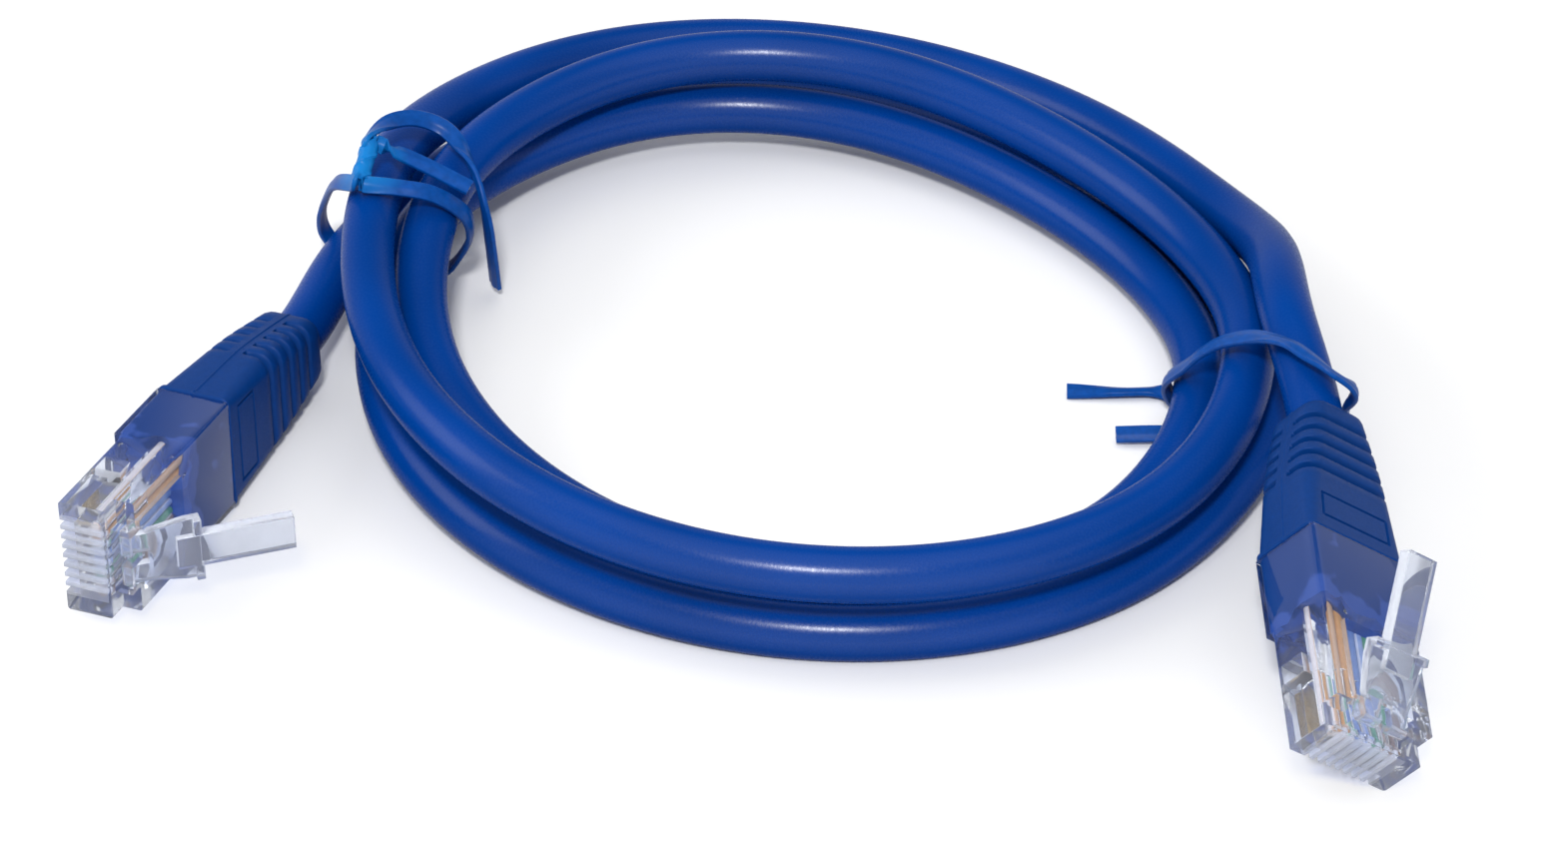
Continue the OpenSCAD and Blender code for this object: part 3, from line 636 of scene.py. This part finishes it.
class PATCHCABLE_OT_cord(bpy.types.Operator):
    """The cable from boot to boot, as one tube along its wound route"""
    bl_idname = "patch_cable.cord"
    bl_label = "Cable"

    def execute(self, context):
        cable = settings().cord
        route = cable_route(cable)
        curve = bpy.data.curves.new("cable", "CURVE")
        curve.dimensions = "3D"
        curve.bevel_depth = cable.diameter / 2
        curve.bevel_resolution = 10
        curve.use_fill_caps = True
        line = curve.splines.new("POLY")
        line.points.add(len(route) - 1)
        for point, place in zip(line.points, route):
            point.co = (*place, 1)
        piece = bpy.data.objects.new("cable", curve)
        context.scene.collection.objects.link(piece)
        activate(piece)
        bpy.ops.object.convert(target="MESH")
        piece = context.object
        # Its own weight presses the soft jacket flat on the floor
        for vertex in piece.data.vertices:
            vertex.co.z = max(vertex.co.z, 0.0)
        bpy.ops.object.shade_smooth()
        set_material(piece, jacket_material(cable.jacket))
        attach(piece, CABLE_BODY)
        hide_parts("cable_lead_a", "cable_coil", "cable_lead_b")
        return {"FINISHED"}


# ---- Boots: lofted, because the section goes from square to round along the length; in millimetres ----
BOOT_W, BOOT_REAR_W = 12.1, 7.3
BOOT_T, BOOT_REAR_T = 7.6, 6.8
BOOT_SHOULDER = 9                       # the sides draw in from here
BOOT_DRAFT = 0.4                        # by how much the mould's draft has narrowed a side up to there
BOOT_TAPER = 1.15                       # power of the curve along which they draw in
BOOT_R = 0.9                            # corner radius at the front, twice that from the shoulder on
CORNER_STEPS = 6
LIP_H = 0.18                            # the collar at the plug stands proud by this
GROOVES = [9.3 + 2.05 * k for k in range(5)]
GROOVE_HALF, GROOVE_DEEP = 0.52, 0.62
CROWN_H, CROWN_AT, CROWN_REACH = 0.05, 13.4, 6  # the ribs between the grooves crown a little
SPINE_W, SPINE_EDGE = 1.5, 0.22         # the plain strip along each side, where the grooves end
PARTING_H, PARTING_HALF, PARTING_FOOT = 0.1, 0.05, 0.16  # the mould's parting ridge along that strip
PANEL = (2.2, 5.4, 4.2)                 # from, to, half width
PANEL_EDGE = 0.3                        # it ends this far from the corner's round
LINE_HALF, LINE_DEEP = 0.18, 0.22       # the cut line round the panel
LINE_FLOOR = 0.6 * LINE_HALF            # half the width that is cut, with a little to spare
FRONT_RINGS = ((0, 0.28), (0.08, 0.1), (0.22, 0.0), (0.5, 0.0), (0.62, LIP_H))  # distance and shrink
SMOOTH_RINGS = (7.0, 8.0)               # between the panel and the grooves
REAR_RINGS = ((0.9, LIP_H), (0.45, 0.25), (0.15, 0.42), (0, 0.75))  # distance from the rear and shrink


def boot_half_sizes(y):
    """Half width, half thickness and corner radius."""
    front = min(1, y / BOOT_SHOULDER)
    taper = max(0.0, (y - BOOT_SHOULDER) / (BOOT_LEN - BOOT_SHOULDER)) ** BOOT_TAPER
    wide = BOOT_W / 2 - BOOT_DRAFT * front
    thick = BOOT_T - (BOOT_T - BOOT_REAR_T) * y / BOOT_LEN
    return wide - (wide - BOOT_REAR_W / 2) * taper, thick / 2, BOOT_R + BOOT_R * front


def boot_ring(y, shrink):
    """One ring of the boot. A quarter's points are pressed in where a groove or the panel's line runs."""
    a, b, r = boot_half_sizes(y)
    groove = max(swell(y - at, GROOVE_HALF) for at in GROOVES)
    crown = CROWN_H * swell(y - CROWN_AT, CROWN_REACH) * (1 - groove)
    across = any(abs(y - at) < LINE_FLOOR for at in PANEL[:2])
    along = PANEL[0] - LINE_FLOOR < y < PANEL[1] + LINE_FLOOR
    # Each point: x, z, whether the grooves press it in, and whether the line does
    quarter = [(a + PARTING_H, PARTING_HALF, 0, 0), (a, PARTING_FOOT, 0, 0), (a, SPINE_W / 2, 0, 0),
               (a, SPINE_W / 2 + SPINE_EDGE, 1, 0)]
    for k in range(CORNER_STEPS + 1):
        t = math.radians(90 / CORNER_STEPS * k)
        quarter.append((a - r + r * math.cos(t), b - r + r * math.sin(t), 1, 0))
    edge = min(PANEL[2], a - r - PANEL_EDGE)
    quarter += [(edge + LINE_HALF, b, 1, 0), (edge + 0.5 * LINE_HALF, b, 1, across or along),
                (edge - 0.5 * LINE_HALF, b, 1, across or along), (edge - LINE_HALF, b, 1, across)]
    pressed = []
    for x, z, grooved, lined in quarter:
        deep = shrink + GROOVE_DEEP * grooved * groove - crown * grooved
        pressed.append((x * (a - deep) / a, z * (b - deep) / b - (LINE_DEEP if lined else 0)))
    half = pressed + [(-x, z) for x, z in reversed(pressed)]
    return half + [(-x, -z) for x, z in half]


def boot_rings(end):
    marks = list(FRONT_RINGS)
    marks += [(at + side * LINE_HALF, LIP_H) for at in PANEL[:2] for side in (-1, -0.5, 0.5, 1)]
    marks += [(y, LIP_H) for y in SMOOTH_RINGS]
    marks += [(at + k * GROOVE_HALF / 5, LIP_H) for at in GROOVES for k in range(-5, 6)]
    marks += [(BOOT_LEN - y, shrink) for y, shrink in REAR_RINGS]
    lean = BOOT_LEAN[end] / BOOT_LEN
    return [[plug_point(end, -x + lean.x * y, PLUG_LEN + y + lean.y * y, BOOT_MID_Z + z + lean.z * y)
             for x, z in boot_ring(y, shrink)] for y, shrink in marks]


# The filling grows a hair into the clear wall, as moulded plastic that has bonded to it
FILL_HALF_W, FILL_Z, FILL_R = 5.5, (-0.55, 6.25), 0.5
FILL_SIZES = (0.15, 0.4, 0.7, 0.92, 1.0)  # sizes of the rings over its front
FILL_SHARES = (0.15, 0.5, 1.0)          # and where the full rings lie from its front to the plug's rear
FILL_FRONT = 12.55                      # how far from the nose it starts
FILL_STEP, STEP_X, STEP_Z = 0.8, 2.9, 2.4  # beyond this x and this z it starts a step further back
WAVE, RIPPLE = 0.25, 0.15               # how uneven the front is
BAR_HALF_W, BAR_Z = 3.75, 0.23          # it stays clear of the strain relief bar


def fill_front(x, z):
    """How far from the nose the filling's front lies: forward tongues, steps and waves."""
    front = FILL_FRONT + FILL_STEP * (abs(x) > STEP_X) * (z > STEP_Z)
    return front + WAVE * math.sin(1.9 * x + 0.8) * math.cos(1.1 * z) + RIPPLE * math.sin(4.3 * x + 1.7 * z)


def fill_rings(end):
    middle = (FILL_Z[0] + FILL_Z[1]) / 2
    half_z = (FILL_Z[1] - FILL_Z[0]) / 2
    flat_x, flat_z = FILL_HALF_W - FILL_R, half_z - FILL_R
    corner = [math.radians(t) for t in (0, 30, 60)]
    outline = [(FILL_HALF_W, flat_z * k / 3) for k in range(-3, 3)]
    outline += [(flat_x + FILL_R * math.cos(t), flat_z + FILL_R * math.sin(t)) for t in corner]
    outline += [(flat_x * (1 - k / 6), half_z) for k in range(12)]
    outline += [(-flat_x - FILL_R * math.sin(t), flat_z + FILL_R * math.cos(t)) for t in corner]
    outline += [(-x, -z) for x, z in outline]

    def ring(size, share):
        """The outline at a size, that share of the way from the front to the rear of the plug."""
        points = []
        for x, z in [(size * x, middle + size * z) for x, z in outline]:
            y = (1 - share) * fill_front(x, z) + share * PLUG_LEN
            points.append(plug_point(end, x, y, max(z, BAR_Z) if abs(x) < BAR_HALF_W else z))
        return points

    return [ring(size, 0) for size in FILL_SIZES] + [ring(1, share) for share in FILL_SHARES]


class PATCHCABLE_OT_boots(bpy.types.Operator):
    """The moulded boots and the filling that they push into the plugs"""
    bl_idname = "patch_cable.boots"
    bl_label = "Boots"

    def execute(self, context):
        colour = settings().boot.colour
        skin = boot_material(colour)
        for end in ENDS:
            boot = loft(f"boot_{end}_moulded", boot_rings(end))
            replace_node(boot, skin, CABLE_BODY, f"boot_{end}")
            fill = loft(f"filler_{end}_moulded", fill_rings(end))
            replace_node(fill, filler_material(colour, end), CABLE_BODY, f"filler_{end}")
        return {"FINISHED"}


# ---- Plugs, in millimetres ----
EDGE_ROUND = 0.1
SEAM = 0.002                            # points closer than this are one
TOOTH_W, TOOTH_Y, TOOTH_Z = 0.56, (-0.04, 0.85), (-0.08, 4.3)
TOOTH_ROUND = 0.22
LATCH_MILK, HOUSING_MILK, TOOTH_MILK = 0.14, 0.01, 0.6
# Insulation and stripe of wires 1 to 8
WIRE_COLOURS = (
    ("#EFE4DE", "#E0B48C"), ("#DDA05E", None), ("#E4ECE6", "#8FC0A4"), ("#6F8FC4", None),
    ("#E2E6F0", "#9AB0D8"), ("#62A882", None), ("#EAE2DC", "#B39A88"), ("#957766", None),
)


def rounded_copy(node):
    """A copy of a frame node with its sharp edges rounded off."""
    source = frame["nodes"][node]
    piece = bpy.data.objects.new(f"{node}_rounded", source.data.copy())
    bpy.context.scene.collection.objects.link(piece)
    activate(piece)
    bpy.ops.object.mode_set(mode="EDIT")
    bpy.ops.mesh.select_all(action="SELECT")
    bpy.ops.mesh.remove_doubles(threshold=SEAM * MM)
    bpy.ops.mesh.dissolve_limited(angle_limit=math.radians(1))
    bpy.ops.object.mode_set(mode="OBJECT")
    bevel = piece.modifiers.new("bevel", "BEVEL")
    bevel.width = EDGE_ROUND * MM
    bevel.segments = 2
    bevel.limit_method = "ANGLE"
    bevel.angle_limit = math.radians(35)
    bpy.ops.object.modifier_apply(modifier=bevel.name)
    bpy.ops.object.shade_smooth_by_angle(angle=math.radians(30))
    return piece


def comb_teeth(end):
    """The seven partitions between the contact slots, with rounded ends at the contact face."""
    size = Vector((TOOTH_W, TOOTH_Y[1] - TOOTH_Y[0], TOOTH_Z[1] - TOOTH_Z[0])) * MM
    middle = Vector((0, sum(TOOTH_Y) / 2, sum(TOOTH_Z) / 2)) * MM
    deselect()
    bpy.ops.mesh.primitive_cube_add(size=1, location=middle, scale=size)
    first = bpy.context.object
    bpy.ops.object.transform_apply(location=True, rotation=False, scale=True)
    bpy.ops.object.mode_set(mode="EDIT")
    bpy.ops.mesh.select_all(action="SELECT")
    bpy.ops.mesh.bevel(offset=TOOTH_ROUND * MM, segments=4)
    bpy.ops.object.mode_set(mode="OBJECT")
    for k in (-3, -2, -1, 1, 2, 3):
        tooth = first.copy()
        tooth.data = first.data.copy()
        bpy.context.scene.collection.objects.link(tooth)
        tooth.data.transform(Matrix.Translation((k * CONTACT_PITCH * MM, 0, 0)))
        tooth.select_set(True)
    bpy.ops.object.join()
    first.name = f"comb_{end}"
    first.data.transform(plug_matrix(end))
    bpy.ops.object.shade_smooth_by_angle(angle=math.radians(50))
    return first


class PATCHCABLE_OT_plugs(bpy.types.Operator):
    """The clear plugs with their latches and strain relief bars"""
    bl_idname = "patch_cable.plugs"
    bl_label = "Plugs"

    def execute(self, context):
        plug = settings().plug
        milky = polycarbonate_material("milky_polycarbonate", plug.clear, LATCH_MILK)
        frosted = polycarbonate_material("frosted_polycarbonate", plug.clear, TOOTH_MILK)
        for end in ENDS:
            clear = polycarbonate_material(f"clear_polycarbonate_{end}", plug.clear, HOUSING_MILK, end)
            for node, body, finish in ((f"housing_{end}", CABLE_BODY, clear),
                                       (f"latch_{end}", f"latch_{end}", milky),
                                       (f"clamp_bar_{end}", CABLE_BODY, clear)):
                replace_node(rounded_copy(node), finish, body, node)
            comb = comb_teeth(end)
            set_material(comb, frosted)
            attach(comb, CABLE_BODY)
        return {"FINISHED"}


class PATCHCABLE_OT_contacts(bpy.types.Operator):
    """Gold contacts and coloured wires in the plugs"""
    bl_idname = "patch_cable.contacts"
    bl_label = "Contacts and wires"

    def execute(self, context):
        gold = gold_material(settings().plug.gold)
        for end in ENDS:
            for i, (base, stripe) in enumerate(WIRE_COLOURS, 1):
                set_material(frame["nodes"][f"contact_{end}{i}"], gold)
                wire = f"wire_{end}{i}"
                finish = wire_material(wire, linear(base), linear(stripe) if stripe else None, end)
                set_material(frame["nodes"][wire], finish)
        return {"FINISHED"}


# ---- Twist ties, in millimetres and degrees ----
# Each station is a place beside the coil's rim, and the way that the strip's flat face looks there
TIE_STEEL = "#B9BBBE"
TIE_Z = TIE_T / 2 + 0.2                 # height of a strip's middle where it lies on the floor
TIE_STEPS = 8
# Half of the section, as shares of half the width and half the thickness
TIE_SIDE = ((1, 0.35), (0.94, 0.6), (0.55, 0.68), (0.3, 0.95), (0, 1),
            (-0.3, 0.95), (-0.55, 0.68), (-0.94, 0.6), (-1, 0.35))
DISH_DEEP, DISH_SIZE = 0.15, 0.35       # each end is sunk by this, over this share of the section
# Middle of the strands that each tie holds
LEFT_HUB, RIGHT_HUB = Vector((-5.43, -0.06, 7)), Vector((5.54, -2.74, 8))
KNOT_FOOT, KNOT_HEAD = Vector((-8.33, -6.5, 16.5)), Vector((-7.23, -2.46, 18.8))
KNOT_R = TIE_T / 2 + 0.15
KNOT_TURN, KNOT_STEPS = 400, 9


def facing(way, *places):
    """Stations whose flat face looks the given way."""
    return [(Vector(p), Vector(way)) for p in places]


def round_hub(hub, *places):
    """Stations whose flat face looks away from the strands."""
    return [(Vector(p), Vector(p) - hub) for p in places]


def knot_stations(phase):
    """One of the two strands that are twisted round each other, from the knot's foot to its head."""
    axis = (KNOT_HEAD - KNOT_FOOT).normalized()
    side = axis.cross(Vector((0, 0, 1))).normalized()
    up = axis.cross(side)
    stations = []
    for k in range(KNOT_STEPS + 1):
        share = k / KNOT_STEPS
        turn = math.radians(phase + KNOT_TURN * share)
        out = math.cos(turn) * side + math.sin(turn) * up
        stations.append((KNOT_FOOT.lerp(KNOT_HEAD, share) + KNOT_R * out, out))
    return stations


LEFT_TIE = [
    *facing((0.2, -0.4, 1), (2.37, -5.06, 15), (-2.33, -3.46, 16.8)),
    *reversed(knot_stations(0)),
    *round_hub(LEFT_HUB, (-4.53, -6.36, 15.9), (-1.13, -6.06, 14.9), (1.67, -4.86, 11.9), (2.07, -3.06, 8.2),
               (0.87, -0.86, 4.3), (-0.93, 0.44, 1.5)),
    *facing((0, 0, -1), (-3.93, 1.54, TIE_Z), (-7.43, 2.84, TIE_Z), (-10.53, 3.94, TIE_Z)),
    *round_hub(LEFT_HUB, (-12.93, 4.94, 2.8), (-13.23, 3.74, 6), (-12.23, 1.44, 10), (-10.93, -2.26, 13.8)),
    *knot_stations(180),
    *facing((0, -0.6, 0.8), (-5.63, 1.64, 18.4), (-2.93, 3.54, 17.5), (0.07, 2.94, 16.2)),
    *facing((0.8, 0.5, 0.3), (2.47, -0.66, 14.2), (3.67, -3.26, 11), (4.07, -3.06, 6.5), (4.27, -1.76, 1.3)),
]
RIGHT_TIE = [
    *facing((0, -0.3, 1), (-10.96, 6.36, TIE_Z)),
    *facing((0, 0.3, 1), (-5.95, 6.23, TIE_Z), (-3.01, 6.29, TIE_Z)),
    *facing((-0.6, -0.2, 0.7), (-1.2, 5.76, 0.8)),
    *round_hub(RIGHT_HUB, (-1.07, 3.83, 1.55), (-1.72, 2.03, 4.88), (-0.07, -0.35, 8.43),
               (1.23, -1.53, 10.77), (3.01, -3.05, 13.05), (5.65, -5.64, 15.4)),
    *facing((0.1, 0.25, 1), (8.19, -8.95, 17.09), (10.01, -11.19, 17.19)),
    *facing((0.7, 0.2, 0.65), (12.12, -12.97, 16.51)),
    *facing((1, 0.1, 0.1), (14.41, -12.94, 14.45)),
    *round_hub(RIGHT_HUB, (14.15, -10.03, 10.61), (14.5, -6.32, 6.57), (13.73, -3.6, 3)),
    *facing((0.2, 0, -1), (11.33, -2.03, TIE_Z)),
    *facing((0, 0, -1), (6.65, -0.74, TIE_Z), (2.4, -1.15, TIE_Z)),
    *facing((0, 0.5, -0.87), (-2.02, -1.29, 1), (-6.61, -1.43, 1)),
]


def tie_rings(stations, tie, at):
    """Rings along a tie: thin wings on a round middle that holds the wire. Its ends are sunk a little."""
    half, thick = tie.width / MM / 2, tie.thickness / MM / 2
    side = [(x * half, z * thick) for x, z in TIE_SIDE]
    section = side + [(-x, -z) for x, z in side]
    places = [place for place, _ in stations]
    ways = [way.normalized() for _, way in stations]
    count = (len(stations) - 1) * TIE_STEPS
    path = [spline(places, k / TIE_STEPS) for k in range(count + 1)]

    def ring(k, sink=0.0, size=1.0):
        """The section at a step of the path, moved on by sink and made smaller by size."""
        ahead = (path[min(k + 1, count)] - path[max(k - 1, 0)]).normalized()
        out = spline(ways, k / TIE_STEPS)
        up = (out - out.dot(ahead) * ahead).normalized()
        flat = up.cross(ahead)
        centre = at + path[k] + sink * ahead
        return [(centre + size * (x * flat + z * up)) * MM for x, z in section]

    return [ring(0, DISH_DEEP, DISH_SIZE), *(ring(k) for k in range(count + 1)),
            ring(count, -DISH_DEEP, DISH_SIZE)]


class PATCHCABLE_OT_ties(bpy.types.Operator):
    """The two twist ties and their steel wires"""
    bl_idname = "patch_cable.ties"
    bl_label = "Twist ties"

    def execute(self, context):
        tie, cable = settings().tie, settings().cord
        knot = rim(TIE_AT[0], cable) + ORIGIN + (KNOT_FOOT + KNOT_HEAD) / 2
        skin = tie_material(tie.colour, knot * MM)
        steel = steel_material(linear(TIE_STEEL))
        for side, stations, angle in (("left", LEFT_TIE, TIE_AT[0]), ("right", RIGHT_TIE, TIE_AT[1])):
            strip = loft(f"tie_{side}_strip", tie_rings(stations, tie, rim(angle, cable) + ORIGIN))
            replace_node(strip, skin, CABLE_BODY, f"tie_{side}")
            set_material(frame["nodes"][f"tie_core_{side}"], steel)
        return {"FINISHED"}


# ---- Panel and registration ----
GROUPS = (                              # each group of settings and what is made from it
    ("stage", (PATCHCABLE_OT_stage,)),
    ("cord", (PATCHCABLE_OT_cord,)),
    ("boot", (PATCHCABLE_OT_boots,)),
    ("plug", (PATCHCABLE_OT_plugs, PATCHCABLE_OT_contacts)),
    ("tie", (PATCHCABLE_OT_ties,)),
)


class PATCHCABLE_PT_panel(bpy.types.Panel):
    """Lists the pieces and their settings"""
    bl_idname = "PATCHCABLE_PT_panel"
    bl_label = "Patch Cable"
    bl_space_type = "VIEW_3D"
    bl_region_type = "UI"
    bl_category = "Patch Cable"

    def draw(self, context):
        for group, operators in GROUPS:
            box = self.layout.box()
            for operator in operators:
                box.operator(operator.bl_idname)
            values = getattr(settings(), group)
            for name in values.bl_rna.properties.keys():
                if name not in ("rna_type", "name"):
                    box.prop(values, name)


CLASSES = (PatchCableStage, PatchCableCord, PatchCableBoot, PatchCablePlug, PatchCableTie, PatchCableSettings,
           *(operator for _, operators in GROUPS for operator in operators), PATCHCABLE_PT_panel)


def register():
    for item in CLASSES:
        bpy.utils.register_class(item)
    bpy.types.Scene.patch_cable = bpy.props.PointerProperty(type=PatchCableSettings)


def unregister():
    del bpy.types.Scene.patch_cable
    for item in reversed(CLASSES):
        bpy.utils.unregister_class(item)


def main():
    register()
    for build in (bpy.ops.patch_cable.stage, bpy.ops.patch_cable.cord, bpy.ops.patch_cable.boots,
                  bpy.ops.patch_cable.plugs, bpy.ops.patch_cable.contacts, bpy.ops.patch_cable.ties):
        build()
    deselect()


if __name__ == "__main__":
    main()
